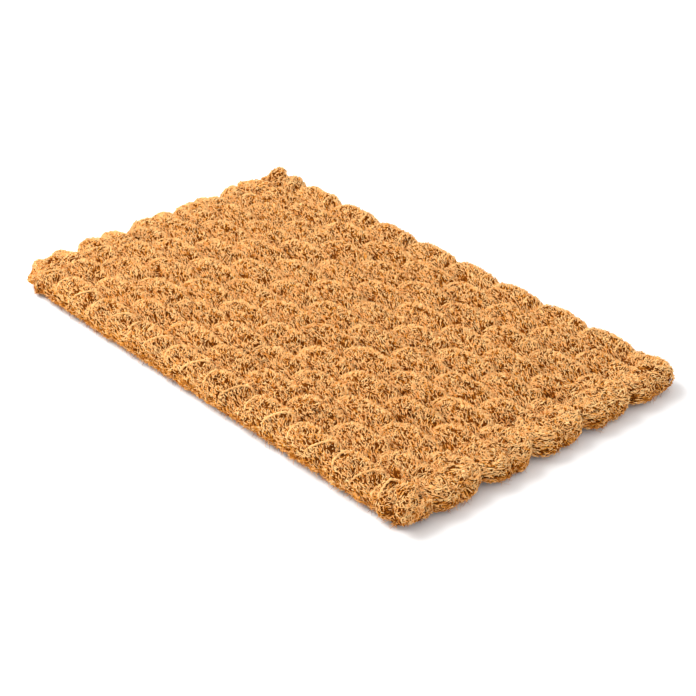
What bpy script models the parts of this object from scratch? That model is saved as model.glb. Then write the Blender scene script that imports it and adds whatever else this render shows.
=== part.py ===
"""A chunky coir door mat: one thick rope laid to and fro, bound by pairs of thin yarns.

The rope makes parallel passes along X, joined by a round turn at each end. Pairs of yarn cross it
along Y in plain weave: a pair that goes over one pass goes under the next, and the next pair does
the opposite. At each long edge a pair that comes over the outer pass parts. Its two yarns slant
down the pass's outer side, one to each neighbouring pair, and meet their ends beneath the pass.

Metres, +Z up. The origin is at the middle of the mat, on the floor.
"""

import math

import bpy
from mathutils import Vector

# The mat
MAT_LENGTH = 0.750
MAT_WIDTH = 0.450

# The rope. Its section is an octagon with flats at its top, bottom and sides, so each size here is
# half the distance across flats.
ROPE_HALF = 0.0195  # where it swells over a yarn, and in the turns
WAIST_HALF = 0.0130  # where a yarn pulls it down
EDGE_WAIST_HALF = 0.0120  # the same on the two outer passes, which the yarns go right round
PASS_GAP = 0.0020  # least space between two passes
CROSSING_HALF = 0.0090  # half the level stretch at each yarn
RISE_RUN = 1.6  # least length of rope for each metre that its middle rises
END_LEVEL = 0.0150  # level stretch at each cut end
TURN_STEPS = 6

# The binding yarns, which have a square section
YARN = 0.0036
YARN_SPACING = 0.03875
FIRST_LEAD = 0.0210  # rope between the left turns and the first level stretch
LONE_TAIL = 0.0060  # how far a tail with no neighbour goes past the middle of the outer pass
# Down the outer side of an edge pass, how far a slanting yarn has moved along it from its pair
SLANT_TOP = 0.0050  # where it leaves the top
SLANT_SIDE = 0.0140  # where it leaves the side
SLANT_UNDER = 0.0230  # where it is beneath
SLANT_LAST = 0.0060  # its last bend, in line with its neighbour's end, from the pass's middle
SLANT_SHARE = 0.85  # of its full size, beneath, where its flats have rolled off the level

CLEARANCE = 0.0003  # between pieces that touch
SLANT_CLEARANCE = 0.0007  # beneath a slanting yarn, whose flats don't lie square on the rope

OCTAGON_TURN = math.radians(22.5)
OCTAGON_CORNER = math.tan(OCTAGON_TURN)  # half a flat's width, as a share of the half size
SQUARE_TURN = math.radians(45.0)

YARN_SEAT = YARN + CLEARANCE  # height of a rope that lies on a yarn
EDGE_REACH = max(ROPE_HALF, EDGE_WAIST_HALF + YARN_SEAT)  # from an outer pass to the mat's edge
LEAST_PITCH = max(
    2 * ROPE_HALF + PASS_GAP,
    ROPE_HALF + WAIST_HALF + YARN + 2 * CLEARANCE,
)
PASSES = int((MAT_WIDTH - 2 * EDGE_REACH) / LEAST_PITCH) + 1
PITCH = (MAT_WIDTH - 2 * EDGE_REACH) / (PASSES - 1)
TURN_X = MAT_LENGTH / 2 - ROPE_HALF - PITCH / 2  # where the turns start
FIRST_YARN_X = -TURN_X + FIRST_LEAD + CROSSING_HALF
LAST_LEAD = RISE_RUN * (ROPE_HALF - WAIST_HALF)  # least rope from a level stretch to a right turn
YARN_LINES = int((TURN_X - LAST_LEAD - CROSSING_HALF - FIRST_YARN_X) / YARN_SPACING) + 1

COLLECTION = "coir_rope_mat"
COIR_ROPE = ("coir_rope", (0.62, 0.32, 0.10), 0.95)
COIR_YARN = ("coir_yarn", (0.78, 0.50, 0.22), 0.90)


def clear_scene():
    for item in list(bpy.data.objects):
        bpy.data.objects.remove(item, do_unlink=True)


def make_collection(name):
    collection = bpy.data.collections.new(name)
    bpy.context.scene.collection.children.link(collection)
    return collection


def make_material(name, colour, roughness):
    material = bpy.data.materials.new(name)
    material.use_nodes = True
    shader = material.node_tree.nodes["Principled BSDF"]
    shader.inputs["Base Color"].default_value = (*colour, 1.0)
    shader.inputs["Roughness"].default_value = roughness
    shader.inputs["Metallic"].default_value = 0.0
    return material


def make_tube(name, points, corner, sides, turn, twist, collection, material):
    """A closed tube along points of (x, y, z, share of corner), where corner is the distance from
    its middle to a corner of its section."""
    curve = bpy.data.curves.new(name, "CURVE")
    curve.dimensions = "3D"
    curve.twist_mode = twist
    curve.bevel_depth = corner
    curve.bevel_resolution = (sides - 4) // 2
    curve.use_fill_caps = True
    spline = curve.splines.new("POLY")
    spline.points.add(len(points) - 1)
    for target, (x, y, z, share) in zip(spline.points, points):
        target.co = (x, y, z, 1.0)
        target.radius = share
        target.tilt = turn
    curve.materials.append(material)
    tube = bpy.data.objects.new(name, curve)
    collection.objects.link(tube)
    return tube


def pass_y(row):
    return (row - (PASSES - 1) / 2) * PITCH


def yarn_x(line):
    return FIRST_YARN_X + line * YARN_SPACING


def yarn_is_over(line, row):
    return (line + row) % 2 == 0


def rope_at_yarn(line, row):
    """The rope's bottom and half size where a pair of yarns crosses a pass."""
    if not yarn_is_over(line, row):
        return YARN_SEAT, ROPE_HALF
    if row in (0, PASSES - 1):
        return YARN_SEAT, EDGE_WAIST_HALF
    return 0.0, WAIST_HALF


def pass_points(row):
    """One pass in the direction in which the rope is laid: right to left on the first."""
    points = []
    for line in range(YARN_LINES):
        bottom, half = rope_at_yarn(line, row)
        for x in (yarn_x(line) - CROSSING_HALF, yarn_x(line) + CROSSING_HALF):
            points.append((x, pass_y(row), bottom, half))
    return points[::-1] if row % 2 == 0 else points


def turn_points(row, start_bottom, end_bottom):
    """The half circle from one pass to the next: at the left end after the first pass."""
    side = -1 if row % 2 == 0 else 1
    middle_y = (pass_y(row) + pass_y(row + 1)) / 2
    points = []
    for step in range(TURN_STEPS + 1):
        share = step / TURN_STEPS
        angle = math.pi * share
        x = side * (TURN_X + PITCH / 2 * math.sin(angle))
        y = middle_y - PITCH / 2 * math.cos(angle)
        bottom = start_bottom + (end_bottom - start_bottom) * share
        points.append((x, y, bottom, ROPE_HALF))
    return points


def end_points(side, row):
    """The level stretch at a cut end, from the end inwards."""
    end = side * MAT_LENGTH / 2
    return [(x, pass_y(row), 0.0, ROPE_HALF) for x in (end, end - side * END_LEVEL)]


def rope_points():
    last_side = -1 if PASSES % 2 else 1
    points = end_points(1, 0)
    for row in range(PASSES):
        points += pass_points(row)
        if row < PASSES - 1:
            points += turn_points(row, points[-1][2], pass_points(row + 1)[0][2])
    points += end_points(last_side, PASSES - 1)[::-1]
    return [(x, y, bottom + half, half / ROPE_HALF) for x, y, bottom, half in points]


def bend_round(line, row):
    """A yarn's four bends over or under a pass, as (y, z) in the direction of +Y."""
    bottom, half = rope_at_yarn(line, row)
    up = 1 if yarn_is_over(line, row) else -1
    y, z = pass_y(row), bottom + half
    reach = half + CLEARANCE + YARN / 2
    corner = reach * OCTAGON_CORNER
    return [
        (y - reach, z + up * corner),
        (y - corner, z + up * reach),
        (y + corner, z + up * reach),
        (y + reach, z + up * corner),
    ]


def straight_tail(line, row, outward, x):
    """Round the outer side of an edge pass and under it, for a yarn with no neighbour to meet."""
    bottom, half = rope_at_yarn(line, row)
    reach = half + CLEARANCE + YARN / 2
    corner = reach * OCTAGON_CORNER
    y = pass_y(row)
    return [
        (x, y + outward * reach, bottom + half + corner, 1.0),
        (x, y + outward * reach, bottom + half - corner, 1.0),
        (x, y + outward * corner, YARN / 2, 1.0),
        (x, y - outward * LONE_TAIL, YARN / 2, 1.0),
    ]


def slant_reach(row, along):
    """From the middle of an edge pass to the middle of a slanting yarn, this far along from its
    pair, where the pass has swollen from its waist by that much."""
    waist = rope_at_yarn(row % 2, row)[1]
    share = (along - CROSSING_HALF) / (YARN_SPACING - 2 * CROSSING_HALF)
    half = waist + (ROPE_HALF - waist) * min(max(share, 0.0), 1.0)
    return half, half + SLANT_CLEARANCE + YARN / 2


def slanting_tail(line, row, outward, side):
    """Down the outer side of an edge pass to the neighbouring pair, and under the pass."""
    x, y = yarn_x(line), pass_y(row)
    end_x = yarn_x(line + side) - side * (YARN_SEAT / 2 + SLANT_CLEARANCE)
    top_half, top_reach = slant_reach(row, SLANT_TOP)
    side_half, side_reach = slant_reach(row, SLANT_SIDE)
    top_z = YARN_SEAT + top_half + top_reach * OCTAGON_CORNER
    side_z = YARN_SEAT + side_half - side_reach * OCTAGON_CORNER
    under_y = slant_reach(row, SLANT_UNDER)[1] * OCTAGON_CORNER + SLANT_CLEARANCE
    return [
        (x + side * SLANT_TOP, y + outward * top_reach, top_z, 1.0),
        (x + side * SLANT_SIDE, y + outward * side_reach, side_z, 1.0),
        (x + side * SLANT_UNDER, y + outward * under_y, YARN_SEAT / 2, SLANT_SHARE),
        (end_x, y + outward * SLANT_LAST, YARN_SEAT / 2, SLANT_SHARE),
        (end_x, y + outward * CLEARANCE / 2, YARN_SEAT / 2, SLANT_SHARE),
    ]


def yarn_end(line, row, outward, side):
    """A yarn's points outside its last bend on an edge pass, from that bend to its end."""
    x = yarn_x(line) + side * YARN_SEAT / 2
    if not yarn_is_over(line, row):
        return [(x, pass_y(row) - outward * CLEARANCE / 2, YARN / 2, 1.0)]
    if 0 <= line + side < YARN_LINES:
        return slanting_tail(line, row, outward, side)
    return straight_tail(line, row, outward, x)


def yarn_points(line, side):
    """All of one yarn, which lies on one side of its pair, from the first pass to the last."""
    x = yarn_x(line) + side * YARN_SEAT / 2
    last = PASSES - 1
    bends = [(x, y, z, 1.0) for row in range(PASSES) for y, z in bend_round(line, row)]
    # The ends take over from the outer bend over an edge pass, and from both outer bends under it.
    first_bend = 1 if yarn_is_over(line, 0) else 2
    last_bend = len(bends) - (1 if yarn_is_over(line, last) else 2)
    first_end = yarn_end(line, 0, -1, side)
    last_end = yarn_end(line, last, 1, side)
    return first_end[::-1] + bends[first_bend:last_bend] + last_end


def roll_by(points, index):
    """How far a section that starts square to X has rolled at this point, where X is square to the
    tube again. A tube bent in one plane doesn't roll."""
    places = [Vector(point[:3]) for point in points[: index + 2]]
    runs = [(b - a).normalized() for a, b in zip(places, places[1:])]
    headings = runs[:1] + [(a + b).normalized() for a, b in zip(runs, runs[1:])]
    across = Vector((1.0, 0.0, 0.0))
    for old, new in zip(headings, headings[1:]):
        across.rotate(old.rotation_difference(new))
    return math.atan2(headings[-1].dot(Vector((1.0, 0.0, 0.0)).cross(across)), across.x)


def make_rope(collection):
    return make_tube(
        "rope",
        rope_points(),
        ROPE_HALF / math.cos(OCTAGON_TURN),
        8,
        OCTAGON_TURN,
        "Z_UP",
        collection,
        make_material(*COIR_ROPE),
    )


def make_yarns(collection):
    material = make_material(*COIR_YARN)
    for line in range(YARN_LINES):
        for letter, side in (("a", -1), ("b", 1)):
            points = yarn_points(line, side)
            make_tube(
                f"binding_yarn_{line + 1:02d}{letter}",
                points,
                YARN / math.sqrt(2),
                4,
                SQUARE_TURN - roll_by(points, len(points) // 2),
                "MINIMUM",
                collection,
                material,
            )


def main():
    clear_scene()
    collection = make_collection(COLLECTION)
    make_rope(collection)
    make_yarns(collection)


main()
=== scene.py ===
"""Looks for the coir rope door mat.

One thick hairy rope lies to and fro in parallel passes and is bound across by pairs of pale yarn.
The rope is a core, coloured near black as painted shade for the gaps between fibres, shaped along
the same route as the CAD rope and covered with short coir fibres. Each yarn is two plies twisted
together. All sizes are in metres.
"""

import math

import bmesh
import bpy
import numpy as np
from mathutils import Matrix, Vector
from mathutils.kdtree import KDTree


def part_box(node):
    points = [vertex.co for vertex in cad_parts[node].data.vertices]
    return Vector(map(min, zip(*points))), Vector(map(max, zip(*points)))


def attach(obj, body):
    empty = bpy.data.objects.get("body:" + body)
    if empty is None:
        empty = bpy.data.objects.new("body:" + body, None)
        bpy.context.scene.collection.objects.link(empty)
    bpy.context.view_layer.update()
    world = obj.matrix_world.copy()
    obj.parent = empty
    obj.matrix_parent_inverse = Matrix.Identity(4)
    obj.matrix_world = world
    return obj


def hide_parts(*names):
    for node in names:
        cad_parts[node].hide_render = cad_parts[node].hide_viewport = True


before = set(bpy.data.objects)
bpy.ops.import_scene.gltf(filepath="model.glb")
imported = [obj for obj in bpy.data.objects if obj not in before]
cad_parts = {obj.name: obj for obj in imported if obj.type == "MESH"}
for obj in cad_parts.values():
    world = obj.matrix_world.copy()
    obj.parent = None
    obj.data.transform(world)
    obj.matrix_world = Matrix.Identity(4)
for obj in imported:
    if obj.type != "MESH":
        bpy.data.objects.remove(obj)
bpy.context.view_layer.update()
CHANCE = np.random.default_rng(611)

# The mat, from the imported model
ROPE_LOW, ROPE_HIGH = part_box("rope")
HALF_LENGTH = (ROPE_HIGH[0] - ROPE_LOW[0]) / 2
YARN_NODES = sorted(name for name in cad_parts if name.startswith("binding_yarn"))
YARN_LINES = len(YARN_NODES) // 2

# The route of the rope, as the CAD lays it
PASSES = 11
PITCH = 0.0411
ROPE_HALF = 0.0195
TURN_X = HALF_LENGTH - ROPE_HALF - PITCH / 2  # where the turns start
FIRST_YARN_X = -0.30495
YARN_SPACING = 0.03875
ROUTE_STEP = 0.001
TURN_STEPS = 72
FLOOR_GAP = 0.0004
X, Y, Z, HEADING, HALF_WIDTH, HALF_HEIGHT, LOOSE = range(7)  # the columns of the route

# Half width, half height and bottom of the rope's core
SWELL = (0.0210, 0.0176, 0.0030)
WAIST = (0.0193, 0.0141, 0.0015)
EDGE_WAIST = (0.0172, 0.0128, 0.0020)
TURN = (0.0192, 0.0172, 0.0020)
LEFT_SQUARENESS = 0.52  # 1 would make a turn a half circle
RIGHT_SQUARENESS = 0.34
FREE_END = (0.0236, 0.0188, 0.0025)
FREE_END_LENGTH = 0.045
FREE_END_FADE = 1.6  # in these lengths, where the free end's size starts
FIRST_CORNER = (0.0150, 0.0125, 0.0015)  # the thin corner of the first turn
FIRST_CORNER_OUT = 0.005
LEFT_SWELL = 0.22  # how much wider the rope is round the corners of a turn
RIGHT_SWELL = 0.38
TURN_LEAD = 0.02  # the stretch in which a pass takes up the size of a turn
LEFT_LOOSENESS = 1.0  # how lumpy the turns are
RIGHT_LOOSENESS = 0.45
KNUCKLE_LENGTH = 0.024
KNUCKLE_HEIGHT = 0.0034
KNUCKLE_MIDDLE = 0.65
LUMP_HEIGHT = 0.0006
LOOSE_LUMP_HEIGHT = 0.0008  # more of it where the rope is loose
LUMP_WAVES = 16
LUMP_PACE = (0.05, 0.45)  # of a wave along the route, in radians a step
LUMP_TURNS = 6  # fewer waves than this fit round the rope
WAIST_SHARPNESS = 4.2  # how soon the rope swells again beside a waist
SQUARENESS = 0.82  # 1 would make the rope's section an ellipse
TIP_LENGTH = 0.006  # the rounded part of each cut end
PLY_LAY = 0.080  # rope in one turn of its two plies
PLY_GROOVE = 0.05  # depth of the groove between them, as a share of the rope's size
END_GROOVE = 0.50
END_GROOVE_LENGTH = 0.035
END_GROOVE_FADE = 1.4  # in these lengths, where it starts
TURN_GROOVE = 0.17
GROOVE_SHARPNESS = 4
CORE_STEPS = 1800
CORE_SIDES = 24

# The fibres
FIBRES_PER_AREA = 256000.0  # before the ones beneath the mat are left out
FIBRED_RADIUS = 0.0175  # the core's usual size
LOWEST_FIBRE = -0.12  # the sine of how far round the rope its full cover reaches
LOWEST_SIDE_FIBRE = -0.7  # the same on the mat's sides
UNDERSIDE_SHARE = 0.12  # of the fibres, kept below that
FIBRE_LENGTH = (0.0038, 0.0078)
FIBRE_HALF = (0.00050, 0.00092)
STRAIGHT_SHARE = 0.55  # fibres without a bend
FIBRE_ANGLE = 0.42  # from the rope's own direction
TURN_FIBRE_ANGLE = 0.95  # the same round a turn
FIBRE_CURL = 0.42  # how much the angle varies
TURN_FIBRE_CURL = 0.5  # more of it round a turn
CURL_WAVE = 0.3  # how far neighbouring fibres veer together
CURL_PACE = 2.3
CURL_START = 100
FIBRE_BEND = 0.6
FIBRE_LIFT = (0.0026, 0.0025)  # of the topmost fibres, and how much lower the deepest lie
FIBRE_ROOT_DEPTH = 0.0006
FREE_END_RISE = (-0.0003, 0.0034)
PIT_RADIUS = (0.0010, 0.0075)  # of the hollow where a yarn dives between two passes, its fibres given painted shade
PIT_THINNING = 0.30  # fibres left out of a hollow
PIT_DEPTH = 0.0008
PIT_STRETCH = 0.8  # a hollow is longer along the rope by one over this
PIT_COLUMNS = 60  # more than there are crossings
YARN_CLEARING = 0.0024  # some fibres keep this far from a yarn at the long edges
YARN_COVER = 0.55  # the share that does not
AGAINST_THE_LAY = 0.34  # fibres whose free ends point the other way
FIBRE_TAPER = (0.6, 1.0, 0.2)
STRAIGHT_ROOT = 0.95  # thickness of a straight fibre's root
CUT_END_FIBRES = 420
TURN_FIBRES = 680  # more of them on the outside of each half of a turn
LEAST_BENDING = 0.01
TOP_FIBRE_Z = 0.031  # painted shade: fibres get darker below here
PAINTED_SHADE_DEPTH = 0.016
DEPTH_SHARE = 0.4  # of a fibre's shade, set by its height as painted shade
SHADE_LIMITS = [0.50, 0.61, 0.69, 0.80]  # from the palest shade to the next, and so on

# The loose hairs low on the mat's sides
FRAYED_HAIRS = 1500
FRAYED_TRIES = 60000
FRAYED_LENGTH = (0.003, 0.007)
FRAYED_HALF = (0.00018, 0.00034)
FRAYED_TAPER = (1.0, 0.9, 0.3)
FRAYED_Z = (0.001, 0.020)
FRAYED_DRIFT = 3.5  # steps along the route
FRAYED_BENDS = ((0.0, 0.0), (0.55, 0.15), (1.0, 0.6))  # shares of the length, and how far each sags
FRAY_X = HALF_LENGTH - 0.012
FRAY_Y = -ROPE_LOW[1] - 0.010
SIDE_X = HALF_LENGTH - 0.05  # where the fibres reach lower
SIDE_Y = FRAY_Y - 0.01
EDGE_YARN_Y = FRAY_Y - 0.015  # where the yarns are cleared of fibres

# The yarns
YARN_GAP = 0.0046  # between the middles of a pair
YARN_PLY_HALF = 0.00095
YARN_PLY_OFFSET = 0.0008
YARN_LAY = 0.013
YARN_STEP = 0.0025
YARN_LOW_Z = 0.0018  # beneath a pass
YARN_LEVEL = (0.006, 0.015)  # its level stretch beneath a pass, and where it starts to rise
YARN_FIRST_RISE = 0.0015
YARN_BENDS = range(200, -21, -20)  # degrees round a pass, from its front side over the top
FRONT_YARN = (42, 0.0016)  # degrees each side of the top that lie high, and their height
OTHER_YARN = (22, 0.0004)
YARN_SINKING = 0.0040  # how far it sinks into the rope in each sinking turn beyond those
SINKING_TURN = 50
SLANT_LONG = 0.029  # how far along an outer pass the left yarn of a pair slants
SLANT_SHORT = 0.018  # and the right one
TAIL_SHARE = 1.15  # of the slant, where the yarn's end lies
TAIL_OUT = (0.012, 0.0022)  # its last bend, out from the pass's middle, and its height
FINE_STEP = 0.001
SMOOTHING = 11  # fine steps that a corner is rounded over

# The camera and the light
CAMERA_AZIMUTH = math.radians(48.268)
CAMERA_ELEVATION = math.radians(30.835)
CAMERA_DISTANCE = 2.298
CAMERA_TARGET = Vector((0.037, -0.006, 0.0))
CAMERA_LENS = 94.06
WORLD_STRENGTH = 0.93


def shader_socket(group, name, kind, value=None, output=False):
    socket = group.interface.new_socket(
        name, in_out="OUTPUT" if output else "INPUT", socket_type=kind
    )
    if value is not None:
        socket.default_value = value
    return socket


def coir_group():
    """Coir's colour and roughness, from its clean, faded and stained colours."""
    group = bpy.data.node_groups.new("coir_colour", "ShaderNodeTree")
    shader_socket(group, "Clean", "NodeSocketColor")
    shader_socket(group, "Faded", "NodeSocketColor")
    shader_socket(group, "Stained", "NodeSocketColor")
    shader_socket(group, "Fibre Scale", "NodeSocketFloat", 320.0)
    shader_socket(group, "Patch Scale", "NodeSocketFloat", 26.0)
    shader_socket(group, "Stain Amount", "NodeSocketFloat", 0.5)
    shader_socket(group, "Roughness", "NodeSocketFloat", 0.8)
    shader_socket(group, "Colour", "NodeSocketColor", output=True)
    shader_socket(group, "Roughness", "NodeSocketFloat", output=True)
    shader_socket(group, "Height", "NodeSocketFloat", output=True)
    nodes, links = group.nodes, group.links
    given = nodes.new("NodeGroupInput")
    result = nodes.new("NodeGroupOutput")
    place = nodes.new("ShaderNodeTexCoord")

    fibre = nodes.new("ShaderNodeTexNoise")
    fibre.inputs["Detail"].default_value = 3.0
    links.new(place.outputs["Object"], fibre.inputs["Vector"])
    links.new(given.outputs["Fibre Scale"], fibre.inputs["Scale"])

    fade = nodes.new("ShaderNodeMapRange")
    fade.inputs["From Min"].default_value = 0.35
    fade.inputs["From Max"].default_value = 0.68
    links.new(fibre.outputs["Fac"], fade.inputs["Value"])

    faded = nodes.new("ShaderNodeMix")
    faded.data_type = "RGBA"
    links.new(fade.outputs["Result"], faded.inputs["Factor"])
    links.new(given.outputs["Clean"], faded.inputs["A"])
    links.new(given.outputs["Faded"], faded.inputs["B"])

    patch = nodes.new("ShaderNodeTexNoise")
    patch.inputs["Detail"].default_value = 2.0
    links.new(place.outputs["Object"], patch.inputs["Vector"])
    links.new(given.outputs["Patch Scale"], patch.inputs["Scale"])

    stain = nodes.new("ShaderNodeMapRange")
    stain.inputs["From Min"].default_value = 0.50
    stain.inputs["From Max"].default_value = 0.72
    links.new(patch.outputs["Fac"], stain.inputs["Value"])

    share = nodes.new("ShaderNodeMath")
    share.operation = "MULTIPLY"
    links.new(stain.outputs["Result"], share.inputs[0])
    links.new(given.outputs["Stain Amount"], share.inputs[1])

    stained = nodes.new("ShaderNodeMix")
    stained.data_type = "RGBA"
    links.new(share.outputs["Value"], stained.inputs["Factor"])
    links.new(faded.outputs["Result"], stained.inputs["A"])
    links.new(given.outputs["Stained"], stained.inputs["B"])

    rough = nodes.new("ShaderNodeMath")
    rough.operation = "MULTIPLY_ADD"
    rough.inputs[1].default_value = 0.12
    links.new(fibre.outputs["Fac"], rough.inputs[0])
    links.new(given.outputs["Roughness"], rough.inputs[2])

    links.new(stained.outputs["Result"], result.inputs["Colour"])
    links.new(rough.outputs["Value"], result.inputs["Roughness"])
    links.new(fibre.outputs["Fac"], result.inputs["Height"])
    return group


COIR_COLOUR = coir_group()


def coir_material(name, clean, faded, stained, stain_amount, fibre_scale, bump):
    material = bpy.data.materials.new(name)
    material.use_nodes = True
    nodes, links = material.node_tree.nodes, material.node_tree.links
    shader = nodes["Principled BSDF"]
    shader.inputs["Specular IOR Level"].default_value = 0.0
    coir = nodes.new("ShaderNodeGroup")
    coir.node_tree = COIR_COLOUR
    coir.inputs["Clean"].default_value = (*clean, 1.0)
    coir.inputs["Faded"].default_value = (*faded, 1.0)
    coir.inputs["Stained"].default_value = (*stained, 1.0)
    coir.inputs["Stain Amount"].default_value = stain_amount
    coir.inputs["Fibre Scale"].default_value = fibre_scale
    coir.inputs["Roughness"].default_value = 0.72
    relief = nodes.new("ShaderNodeBump")
    relief.inputs["Strength"].default_value = bump
    relief.inputs["Distance"].default_value = 0.0006
    links.new(coir.outputs["Colour"], shader.inputs["Base Color"])
    links.new(coir.outputs["Roughness"], shader.inputs["Roughness"])
    links.new(coir.outputs["Height"], relief.inputs["Height"])
    links.new(relief.outputs["Normal"], shader.inputs["Normal"])
    return material


RUSSET = (0.36, 0.075, 0.008)
FIBRE_MATERIALS = [
    coir_material("coir_pale", (1.00, 0.56, 0.21), (1.00, 0.68, 0.31), RUSSET, 0.10, 140, 0.2),
    coir_material("coir_straw", (0.97, 0.47, 0.14), (1.00, 0.57, 0.22), RUSSET, 0.25, 140, 0.2),
    coir_material("coir_tan", (0.80, 0.32, 0.05), (0.94, 0.44, 0.10), RUSSET, 0.35, 140, 0.2),
    coir_material("coir_brown", (0.44, 0.13, 0.012), (0.62, 0.23, 0.03), RUSSET, 0.5, 140, 0.2),
    coir_material("coir_russet", (0.20, 0.04, 0.003), (0.36, 0.09, 0.01), RUSSET, 0.5, 140, 0.2),
]
# Painted shade: the core's near-black colour stands in for the shade in the gaps between the fibres.
CORE_SHADE_MATERIAL = coir_material(
    "coir_core_painted_shade", (0.09, 0.022, 0.002), (0.18, 0.05, 0.006), (0.03, 0.006, 0.001), 0.7, 420, 0.8
)
YARN_MATERIAL = coir_material(
    "coir_yarn", (0.88, 0.50, 0.18), (0.98, 0.64, 0.29), (0.50, 0.19, 0.04), 0.5, 500, 0.6
)


def pass_y(row):
    return (row - (PASSES - 1) / 2) * PITCH


def yarn_x(line):
    return FIRST_YARN_X + line * YARN_SPACING


def yarn_is_over(line, row):
    return (line + row) % 2 == 0


def forward(row):
    """1 for a pass that is laid towards +X, and -1 for one towards -X."""
    return 1 if row % 2 else -1


def pass_start_x(row):
    return HALF_LENGTH if row == 0 else -forward(row) * TURN_X


def squared_off(wave, squareness):
    """A sine or cosine, nearer to a square wave the smaller squareness is."""
    return np.sign(wave) * np.abs(wave) ** squareness


def swelling(row, x):
    """How far the rope has swollen at these places along a pass: 0 at a waist, 1 between two."""
    waists = [yarn_x(line) for line in range(YARN_LINES) if yarn_is_over(line, row)]
    away = np.min(np.abs(x[:, None] - np.array(waists)[None, :]), axis=1)
    share = np.clip(away / YARN_SPACING, 0.0, 1.0)
    return 1 - (1 - share) ** WAIST_SHARPNESS


def lay_pass(row):
    """Centre, heading, half width, half height and looseness of one pass, as columns."""
    start = pass_start_x(row)
    end = -HALF_LENGTH if row == PASSES - 1 else forward(row) * TURN_X
    count = int(abs(end - start) / ROUTE_STEP)
    x = np.linspace(start, end, count, endpoint=False)
    swell = swelling(row, x)[:, None]
    waist = np.array(EDGE_WAIST if row in (0, PASSES - 1) else WAIST)
    sizes = waist + (np.array(SWELL) - waist) * swell
    to_turn = np.clip((np.abs(x) - (TURN_X - TURN_LEAD)) / TURN_LEAD, 0.0, 1.0)[:, None]
    sizes = sizes + (np.array(TURN) - sizes) * to_turn * swell
    if row in (0, PASSES - 1):
        free_x = HALF_LENGTH if row == 0 else -HALF_LENGTH
        to_end = np.clip(FREE_END_FADE - np.abs(x - free_x) / FREE_END_LENGTH, 0.0, 1.0)[:, None]
        sizes = sizes + (np.array(FREE_END) - sizes) * to_end * swell
    heading = np.full(count, 0.0 if row % 2 else math.pi)
    y = np.full(count, pass_y(row))
    return np.column_stack(
        [x, y, sizes[:, 2] + sizes[:, 1], heading, sizes[:, 0], sizes[:, 1], to_turn[:, 0]]
    )


def turn_outline(squareness):
    """How far a squared-off half circle lies out from its straight side and along it, evenly."""
    angle = np.linspace(0.0, math.pi, 721)
    across = -squared_off(np.cos(angle), squareness)
    out = np.abs(np.sin(angle)) ** squareness
    reach = np.concatenate([[0.0], np.cumsum(np.hypot(np.diff(out), np.diff(across)))])
    even = np.linspace(0.0, reach[-1], TURN_STEPS, endpoint=False)
    return np.interp(even, reach, out), np.interp(even, reach, across)


def lay_turn(row, before, after):
    """The turn that joins a pass to the next.

    before and after are the rope's middle height, half width and half height at its two ends.
    """
    side = forward(row)
    squareness, swell, looseness = LEFT_SQUARENESS, LEFT_SWELL, LEFT_LOOSENESS
    if side > 0:
        squareness, swell, looseness = RIGHT_SQUARENESS, RIGHT_SWELL, RIGHT_LOOSENESS
    out, across = turn_outline(squareness)
    x = side * (TURN_X + PITCH / 2 * out)
    y = pass_y(row) + PITCH / 2 * (1 + across)
    heading = math.pi / 2 - side * np.arctan2(np.gradient(out), np.gradient(across))
    share = np.linspace(0.0, 1.0, TURN_STEPS, endpoint=False)[:, None]
    sizes = before + (after - before) * share
    full = np.clip(8 * share * (1 - share), 0.0, 1.0)
    sizes = sizes + (np.array([TURN[2] + TURN[1], TURN[0], TURN[1]]) - sizes) * full
    sizes[:, 1] *= 1 + swell * np.abs(np.sin(2 * math.pi * share[:, 0]))
    if row == 0:
        thin = np.clip(1.5 - 2.5 * share, 0.0, 1.0) * full
        corner = np.array([FIRST_CORNER[2] + FIRST_CORNER[1], *FIRST_CORNER[:2]])
        sizes = sizes + (corner - sizes) * thin
        x = x - FIRST_CORNER_OUT * thin[:, 0]
    loose = np.full(TURN_STEPS, looseness)
    return np.column_stack([x, y, sizes[:, 0], heading, sizes[:, 1], sizes[:, 2], loose])


def lay_rope():
    """The whole route, the first step of each pass, and the middle step of each turn.

    The route's two ends count as middles, so that each pass has its half turns between two of them.
    """
    passes = [lay_pass(row) for row in range(PASSES)]
    sizes = [Z, HALF_WIDTH, HALF_HEIGHT]
    parts = []
    firsts = []
    middles = [0]
    steps = 0
    for row in range(PASSES):
        firsts.append(steps)
        parts.append(passes[row])
        steps += len(passes[row])
        if row < PASSES - 1:
            turn = lay_turn(row, passes[row][-1, sizes], passes[row + 1][0, sizes])
            parts.append(turn)
            middles.append(steps + TURN_STEPS // 2)
            steps += TURN_STEPS
    middles.append(steps)
    return np.vstack(parts), firsts, middles


ROUTE, PASS_FIRSTS, TURN_MIDDLES = lay_rope()
ROUTE_LENGTH = len(ROUTE) - 1.0
LUMPS = [
    (CHANCE.uniform(*LUMP_PACE), CHANCE.integers(0, LUMP_TURNS), CHANCE.uniform(0, 2 * math.pi))
    for _ in range(LUMP_WAVES)
]


def lump(step, around):
    """Uneven rises and hollows of the rope, from about -1 to 1."""
    total = np.zeros_like(step)
    for pace, turns, start in LUMPS:
        total += np.sin(pace * step + turns * around + start)
    return total / math.sqrt(LUMP_WAVES)


def route_at(step, column):
    return np.interp(step, np.arange(len(ROUTE)), ROUTE[:, column])


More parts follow.
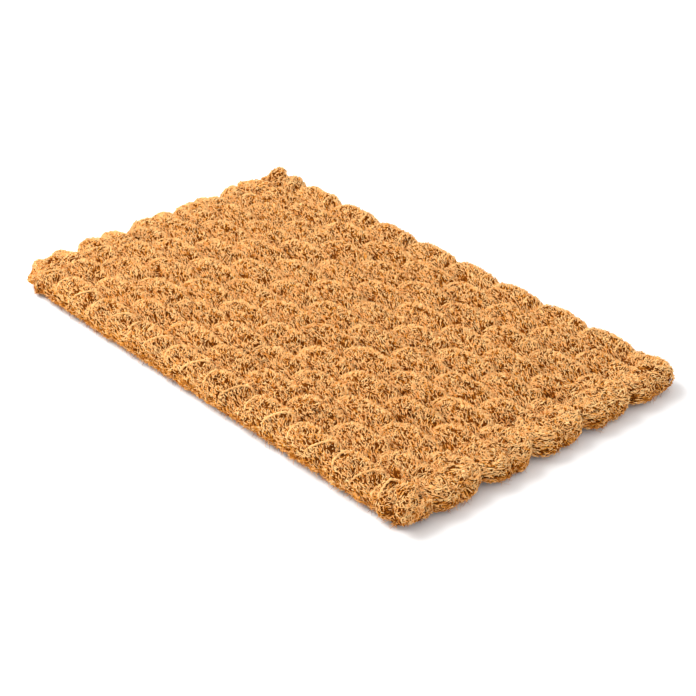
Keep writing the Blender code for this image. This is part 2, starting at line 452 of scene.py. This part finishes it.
def rope_surface(step, around, lift):
    """Points on the core, this many steps along the route and this far round it, raised by lift."""
    step = np.clip(step, 0.0, ROUTE_LENGTH)
    columns = [route_at(step, column) for column in range(ROUTE.shape[1])]
    x, y, z, heading, half_width, half_height, loose = columns
    to_end = np.minimum(step, ROUTE_LENGTH - step) * ROUTE_STEP
    tip = np.clip(1 - to_end / TIP_LENGTH, 0.0, 1.0)
    rounding = np.sqrt(np.clip(1 - tip**2, 0.0, 1.0))
    near_end = np.clip(END_GROOVE_FADE - to_end / END_GROOVE_LENGTH, 0.0, 1.0)
    groove = PLY_GROOVE + (TURN_GROOVE - PLY_GROOVE) * loose * (1 - near_end)
    groove = groove + (END_GROOVE - groove) * near_end
    ply = around - 2 * math.pi * step * ROUTE_STEP / PLY_LAY
    size = rounding * (1 - groove * np.abs(np.sin(ply)) ** GROOVE_SHARPNESS)
    knuckles = math.pi * step * ROUTE_STEP / KNUCKLE_LENGTH + around / 2
    uneven = (LUMP_HEIGHT + LOOSE_LUMP_HEIGHT * loose) * lump(step, around)
    uneven = uneven + KNUCKLE_HEIGHT * loose * (np.abs(np.sin(knuckles)) - KNUCKLE_MIDDLE)
    raised = lift + uneven * rounding
    out_width = half_width * size + raised
    out_height = half_height * size + raised
    sideways = out_width * squared_off(np.cos(around), SQUARENESS)
    upward = out_height * squared_off(np.sin(around), SQUARENESS)
    return np.stack(
        [
            x - np.sin(heading) * sideways,
            y + np.cos(heading) * sideways,
            np.maximum(z + upward, FLOOR_GAP),
        ],
        axis=-1,
    )


def make_object(name, mesh, slot, *nodes):
    made = bpy.data.objects.new(name, mesh)
    bpy.context.scene.collection.objects.link(made)
    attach(made, "root")
    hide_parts(*nodes)
    return made


def make_core():
    """A grid wrapped round the route and closed along its seam and at both tips."""
    form = bmesh.new()
    bmesh.ops.create_grid(form, x_segments=CORE_STEPS, y_segments=CORE_SIDES, size=1.0)
    places = np.array([vertex.co for vertex in form.verts])
    step = (places[:, 0] + 1) / 2 * ROUTE_LENGTH
    turned = (places[:, 1] + 1) * math.pi
    wrapped = rope_surface(step, turned, 0.0)
    for vertex, place in zip(form.verts, wrapped):
        vertex.co = place
    bmesh.ops.remove_doubles(form, verts=form.verts, dist=0.00002)
    bmesh.ops.recalc_face_normals(form, faces=form.faces)
    for face in form.faces:
        face.smooth = True
    mesh = bpy.data.meshes.new("rope_core")
    form.to_mesh(mesh)
    form.free()
    mesh.materials.append(CORE_SHADE_MATERIAL)
    return make_object("rope_core", mesh, "coir_rope", "rope")


def section_profile(name, sides):
    """The section of a strand, one metre from its middle to a corner."""
    curve = bpy.data.curves.new(name, "CURVE")
    curve.dimensions = "2D"
    spline = curve.splines.new("POLY")
    spline.points.add(sides - 1)
    for corner, point in enumerate(spline.points):
        angle = 2 * math.pi * corner / sides
        point.co = (math.cos(angle), math.sin(angle), 0.0, 1.0)
    spline.use_cyclic_u = True
    profile = bpy.data.objects.new(name, curve)
    bpy.context.scene.collection.objects.link(profile)
    return profile


def strands_mesh(name, places, halves, shades, straight, materials, profile):
    """A mesh of many thin strands. places is strands x points x 3 and halves strands x points.

    A straight strand keeps only every other point.
    """
    curve = bpy.data.curves.new(name, "CURVE")
    curve.dimensions = "3D"
    curve.bevel_mode = "OBJECT"
    curve.bevel_object = profile
    curve.use_fill_caps = True
    for material in materials:
        curve.materials.append(material)
    weights = np.concatenate([places, np.ones((*places.shape[:2], 1))], axis=2)
    for row in range(len(places)):
        every = 2 if straight[row] else 1
        spline = curve.splines.new("POLY")
        spline.points.add(len(halves[row][::every]) - 1)
        spline.points.foreach_set("co", weights[row][::every].ravel())
        spline.points.foreach_set("radius", halves[row][::every])
        spline.material_index = int(shades[row])
    strands = bpy.data.objects.new(name, curve)
    bpy.context.scene.collection.objects.link(strands)
    graph = bpy.context.evaluated_depsgraph_get()
    mesh = bpy.data.meshes.new_from_object(strands.evaluated_get(graph))
    mesh.name = name
    bpy.data.objects.remove(strands)
    bpy.data.curves.remove(curve)
    return mesh


def shades_with_painted_shade(height, buried, count):
    """Fibre shades of random tone, with painted shade: darker, redder ones low down or beneath the
    others.
    """
    painted_shade = np.clip((TOP_FIBRE_Z - height) / PAINTED_SHADE_DEPTH, 0.0, 1.0)
    pick = 0.5 * CHANCE.random(count) + 0.5 * buried
    pick = pick * (1 - DEPTH_SHARE * painted_shade) + DEPTH_SHARE * painted_shade
    return np.digitize(pick, SHADE_LIMITS)


PIT_SIZES = CHANCE.random((PIT_COLUMNS, PASSES + 1)) ** 2
PITS = PIT_RADIUS[0] + (PIT_RADIUS[1] - PIT_RADIUS[0]) * PIT_SIZES


def in_pit(place):
    """Whether a place is beside a yarn that dives between two passes."""
    line = np.round((place[:, 0] - FIRST_YARN_X) / YARN_SPACING).astype(int)
    seam = np.round((place[:, 1] - pass_y(0)) / PITCH + 0.5).astype(int)
    along = place[:, 0] - (FIRST_YARN_X + line * YARN_SPACING)
    across = place[:, 1] - (pass_y(0) + (seam - 0.5) * PITCH)
    inner = (seam > 0) & (seam < PASSES) & (line >= 0) & (line < YARN_LINES)
    radius = PITS[np.clip(line, 0, PIT_COLUMNS - 1), np.clip(seam, 0, PASSES)]
    return inner & (np.hypot(along * PIT_STRETCH, across) < radius)


def fibre_roots(row):
    """Steps and ways round at which fibres may grow, on one pass and half of each turn beside it."""
    first, last = TURN_MIDDLES[row], TURN_MIDDLES[row + 1]
    area = (last - first) * ROUTE_STEP * 2 * math.pi * FIBRED_RADIUS
    step = CHANCE.uniform(first, last, int(area * FIBRES_PER_AREA))
    if row in (0, PASSES - 1):
        extra = (1 - np.sqrt(CHANCE.random(CUT_END_FIBRES))) * TIP_LENGTH / ROUTE_STEP
        step = np.append(step, extra if row == 0 else ROUTE_LENGTH - extra)
    around = CHANCE.uniform(0, 2 * math.pi, len(step))
    half_turn = TURN_STEPS // 2
    half_turns = []
    if row > 0:
        half_turns.append((first, -forward(row)))
    if row < PASSES - 1:
        half_turns.append((last - half_turn, forward(row)))
    for low, side in half_turns:
        bending = np.abs(np.diff(ROUTE[low : low + half_turn, HEADING])) + LEAST_BENDING
        picked = CHANCE.choice(len(bending), TURN_FIBRES, p=bending / bending.sum())
        step = np.append(step, low + picked + CHANCE.random(TURN_FIBRES))
        outer = math.pi if side > 0 else 0.0
        beside = CHANCE.uniform(-math.pi / 2, math.pi / 2, TURN_FIBRES)
        around = np.append(around, beside + outer)
    return step, around


def keep_fibres(around, root, deep, yarns):
    """Leaves out most fibres beneath the mat, and some in the hollows and beside an edge's yarns."""
    count = len(root)
    on_side = (np.abs(root[:, X]) > SIDE_X) | (np.abs(root[:, Y]) > SIDE_Y)
    lowest = np.where(on_side, LOWEST_SIDE_FIBRE, LOWEST_FIBRE)
    kept = (np.sin(around) > lowest) | (CHANCE.random(count) < UNDERSIDE_SHARE)
    kept &= ~deep | (CHANCE.random(count) > PIT_THINNING)
    to_yarn = np.array([yarns.find(place)[2] for place in root])
    clear = (np.abs(root[:, Y]) <= EDGE_YARN_Y) | (to_yarn > YARN_CLEARING)
    return kept & (clear | (CHANCE.random(count) < YARN_COVER))


def lay_fibres(row, step, around, root, deep):
    """Three places along each fibre, whether it is straight, and how deep it lies, from 0 to 1."""
    count = len(step)
    length = CHANCE.uniform(*FIBRE_LENGTH, count)
    in_turn = np.clip(2 * route_at(step, LOOSE), 0.0, 1.0)
    curl = CHANCE.normal(0.0, FIBRE_CURL + TURN_FIBRE_CURL * in_turn)
    curl = curl + CURL_WAVE * lump(step * CURL_PACE + CURL_START, around)
    angle = FIBRE_ANGLE + (TURN_FIBRE_ANGLE - FIBRE_ANGLE) * in_turn + curl
    straight = CHANCE.random(count) < STRAIGHT_SHARE
    bend = CHANCE.normal(0.0, FIBRE_BEND, count)
    sunk = PIT_DEPTH * deep
    buried = CHANCE.random(count)
    lift = FIBRE_LIFT[0] - FIBRE_LIFT[1] * buried - sunk
    way = np.where(CHANCE.random(count) < AGAINST_THE_LAY, forward(row), -forward(row))
    free_end = CHANCE.uniform(*FREE_END_RISE, count)
    rises = [lift * 0.2 - FIBRE_ROOT_DEPTH, lift, 0.5 * lift + free_end - sunk]
    on_cut = np.minimum(step, ROUTE_LENGTH - step) * ROUTE_STEP < TIP_LENGTH
    spin = CHANCE.uniform(0.0, 2 * math.pi, count)
    places = []
    for part, rise in zip((-0.5, 0.0, 0.5), rises):
        share = part * way
        turned = angle + bend * share
        reach = share * length
        along = np.cos(turned) * reach / ROUTE_STEP
        round_by = np.sin(turned) * reach / FIBRED_RADIUS
        place = rope_surface(step + along, around + round_by, rise)
        out = np.sign(root[:, X]) * rise
        flat = root + np.stack([out, reach * np.cos(spin), reach * np.sin(spin)], axis=1)
        flat[:, Z] = np.maximum(flat[:, Z], FLOOR_GAP)
        places.append(np.where(on_cut[:, None], flat, place))
    places = np.stack(places, axis=1)
    chord = np.linalg.norm(places[:, 2] - places[:, 0], axis=1)
    shorter = np.minimum(1.0, length / chord)[:, None, None]
    places = places[:, 1:2] + (places - places[:, 1:2]) * shorter
    return places, straight, buried


def make_fibres(row, yarns, profile):
    """The short fibres that cover one pass and half of each turn beside it."""
    step, around = fibre_roots(row)
    root = rope_surface(step, around, 0.0)
    deep = in_pit(root)
    kept = keep_fibres(around, root, deep, yarns)
    step, around, root, deep = step[kept], around[kept], root[kept], deep[kept]
    places, straight, buried = lay_fibres(row, step, around, root, deep)
    count = len(places)
    half = CHANCE.uniform(*FIBRE_HALF, count)
    halves = half[:, None] * np.array(FIBRE_TAPER)[None, :]
    halves[straight, 0] = half[straight] * STRAIGHT_ROOT
    # Painted shade: fibres lying low or beneath the others get darker, redder shades.
    shades = shades_with_painted_shade(places[:, 1, Z], buried, count)
    # Painted shade: fibres in a hollow take the darker shades.
    shades = np.where(deep, CHANCE.integers(1, 5, count), shades)
    name = f"rope_fibres_{row + 1:02d}"
    mesh = strands_mesh(name, places, halves, shades, straight, FIBRE_MATERIALS, profile)
    return make_object(name, mesh, "coir_rope", "rope")


def make_frayed_hairs(profile):
    """Loose hairs that stick out of the mat's sides near the floor."""
    step = CHANCE.uniform(0.0, ROUTE_LENGTH, FRAYED_TRIES)
    around = CHANCE.uniform(0.0, 2 * math.pi, FRAYED_TRIES)
    root = rope_surface(step, around, 0.0)
    outside = (np.abs(root[:, X]) > FRAY_X) | (np.abs(root[:, Y]) > FRAY_Y)
    kept = outside & (root[:, Z] > FRAYED_Z[0]) & (root[:, Z] < FRAYED_Z[1])
    step, around = step[kept][:FRAYED_HAIRS], around[kept][:FRAYED_HAIRS]
    count = len(step)
    length = CHANCE.uniform(*FRAYED_LENGTH, count)
    places = []
    for share, sag in FRAYED_BENDS:
        drift = share * CHANCE.normal(0.0, FRAYED_DRIFT, count)
        place = rope_surface(step + drift, around, length * share - 0.0005)
        place[:, Z] = np.maximum(place[:, Z] - sag * length, FLOOR_GAP)
        places.append(place)
    halves = CHANCE.uniform(*FRAYED_HALF, count)[:, None] * np.array(FRAYED_TAPER)[None, :]
    shades = CHANCE.integers(1, 5, count)
    places = np.stack(places, axis=1)
    bent = np.zeros(count, bool)
    mesh = strands_mesh("frayed_hairs", places, halves, shades, bent, FIBRE_MATERIALS, profile)
    return make_object("frayed_hairs", mesh, "coir_rope", "rope")


def on_pass(row, x, around, lift):
    """A point on a pass, where around is 0 on its +Y side and 90 degrees on its top."""
    step = PASS_FIRSTS[row] + (x - pass_start_x(row)) * forward(row) / ROUTE_STEP
    turned = around if row % 2 else math.pi - around
    return rope_surface(np.array([step]), np.array([turned]), lift)[0]


def yarn_beneath(x, row):
    """A yarn's places beneath a pass. Beneath an outer pass it ends in the middle."""
    level, rising = YARN_LEVEL
    places = []
    if row > 0:
        places += [(x, -rising, YARN_LOW_Z + YARN_FIRST_RISE), (x, -level, YARN_LOW_Z)]
    if row in (0, PASSES - 1):
        places.append((x, 0.0, YARN_LOW_Z))
    if row < PASSES - 1:
        places += [(x, level, YARN_LOW_Z), (x, rising, YARN_LOW_Z + YARN_FIRST_RISE)]
    return [(x, pass_y(row) + across, z) for x, across, z in places]


def yarn_route(line, side):
    """The middle of one yarn, loosely, from the front edge to the back."""
    x = yarn_x(line) + side * YARN_GAP / 2
    slant = SLANT_LONG if side < 0 else SLANT_SHORT
    points = []
    for row in range(PASSES):
        if not yarn_is_over(line, row):
            points += yarn_beneath(x, row)
            continue
        edge = (row == 0) - (row == PASSES - 1)
        flat, height = FRONT_YARN if edge > 0 else OTHER_YARN
        for degrees in YARN_BENDS:
            shift = 0.0
            if edge:
                outer = math.radians(degrees if edge > 0 else 180 - degrees)
                shift = side * slant * min(max(outer / math.pi, 0.0), 1.1)
            sunk = max(0.0, abs(degrees - 90) - flat) / SINKING_TURN
            turn = math.radians(degrees)
            points.append(on_pass(row, x + shift, turn, height - YARN_SINKING * sunk))
        if edge:
            tail_x = x + side * slant * TAIL_SHARE
            y = pass_y(row)
            beneath = [(tail_x, y - edge * TAIL_OUT[0], TAIL_OUT[1]), (tail_x, y, YARN_LOW_Z)]
            points = beneath[::-1] + points if edge > 0 else points + beneath
    return np.array(points, float)


def smooth_route(points):
    """The same route with even steps and its corners rounded."""
    reach = np.concatenate([[0.0], np.cumsum(np.linalg.norm(np.diff(points, axis=0), axis=1))])
    even = np.arange(0.0, reach[-1], FINE_STEP)
    fine = np.stack([np.interp(even, reach, column) for column in points.T], axis=1)
    window = np.hanning(SMOOTHING)[1:-1]
    window /= window.sum()
    half = len(window) // 2
    padded = np.pad(fine, ((half, half), (0, 0)), mode="edge")
    rounded = np.stack([np.convolve(column, window, "valid") for column in padded.T], axis=1)
    kept = np.arange(0, len(rounded) - 1, YARN_STEP / FINE_STEP)
    fine_steps = np.arange(len(rounded))
    return np.stack([np.interp(kept, fine_steps, column) for column in rounded.T], axis=1)


def make_yarn(node, line, side, profile):
    """One yarn, two plies twisted round its route. Gives the route back."""
    route = smooth_route(yarn_route(line, side))
    tangent = np.gradient(route, axis=0)
    tangent /= np.linalg.norm(tangent, axis=1)[:, None]
    across = np.cross(tangent, np.cross((1.0, 0.0, 0.0), tangent))
    across /= np.linalg.norm(across, axis=1)[:, None]
    third = np.cross(tangent, across)
    turn = 2 * math.pi * np.arange(len(route)) * YARN_STEP / YARN_LAY + CHANCE.uniform(0, 6)
    plies = []
    for start in (0.0, math.pi):
        aside = np.cos(turn + start)[:, None] * across + np.sin(turn + start)[:, None] * third
        plies.append(route + YARN_PLY_OFFSET * aside)
    halves = YARN_PLY_HALF * CHANCE.uniform(0.85, 1.1, (2, len(route)))
    name = node.replace("binding_yarn", "yarn")
    bent = [False, False]
    mesh = strands_mesh(name, np.stack(plies), halves, [0, 0], bent, [YARN_MATERIAL], profile)
    make_object(name, mesh, "coir_yarn", node)
    return route


def make_floor():
    form = bmesh.new()
    bmesh.ops.create_grid(form, x_segments=1, y_segments=1, size=6.0)
    mesh = bpy.data.meshes.new("floor")
    form.to_mesh(mesh)
    form.free()
    material = bpy.data.materials.new("pale_floor")
    material.use_nodes = True
    shader = material.node_tree.nodes["Principled BSDF"]
    shader.inputs["Base Color"].default_value = (0.92, 0.92, 0.92, 1.0)
    shader.inputs["Roughness"].default_value = 0.9
    mesh.materials.append(material)
    floor = bpy.data.objects.new("floor", mesh)
    bpy.context.scene.collection.objects.link(floor)


def make_light(name, place, size, power):
    light = bpy.data.lights.new(name, "AREA")
    light.shape = "DISK"
    light.size = size
    light.energy = power
    lamp = bpy.data.objects.new(name, light)
    lamp.location = place
    lamp.rotation_euler = Vector(place).to_track_quat("Z", "Y").to_euler()
    bpy.context.scene.collection.objects.link(lamp)


def make_studio():
    world = bpy.data.worlds.new("studio")
    world.use_nodes = True
    world.node_tree.nodes["Background"].inputs["Color"].default_value = (1.0, 1.0, 1.0, 1.0)
    world.node_tree.nodes["Background"].inputs["Strength"].default_value = WORLD_STRENGTH
    bpy.context.scene.world = world
    bpy.context.scene.view_settings.view_transform = "Standard"
    make_light("key", (-1.2, -0.8, 1.9), 2.0, 66.0)
    make_light("fill", (1.8, -1.2, 1.6), 1.6, 6.0)


def make_camera():
    away = math.cos(CAMERA_ELEVATION)
    back = Vector(
        (
            math.sin(CAMERA_AZIMUTH) * away,
            -math.cos(CAMERA_AZIMUTH) * away,
            math.sin(CAMERA_ELEVATION),
        )
    )
    lens = bpy.data.cameras.new("camera")
    lens.lens = CAMERA_LENS
    lens.sensor_width = 36.0
    lens.clip_start = 0.05
    lens.clip_end = 30.0
    camera = bpy.data.objects.new("camera", lens)
    camera.location = CAMERA_TARGET + back * CAMERA_DISTANCE
    camera.rotation_euler = back.to_track_quat("Z", "Y").to_euler()
    bpy.context.scene.collection.objects.link(camera)
    bpy.context.scene.camera = camera


make_camera()
make_studio()
make_floor()
make_core()
FIBRE_SECTION = section_profile("fibre_section", 3)
PLY_SECTION = section_profile("ply_section", 5)
YARN_POINTS = np.vstack(
    [
        make_yarn(node, index // 2, 1 if index % 2 else -1, PLY_SECTION)
        for index, node in enumerate(YARN_NODES)
    ]
)
YARN_TREE = KDTree(len(YARN_POINTS))
for index, point in enumerate(YARN_POINTS):
    YARN_TREE.insert(point, index)
YARN_TREE.balance()
for row in range(PASSES):
    make_fibres(row, YARN_TREE, FIBRE_SECTION)
make_frayed_hairs(FIBRE_SECTION)
bpy.data.objects.remove(FIBRE_SECTION)
bpy.data.objects.remove(PLY_SECTION)
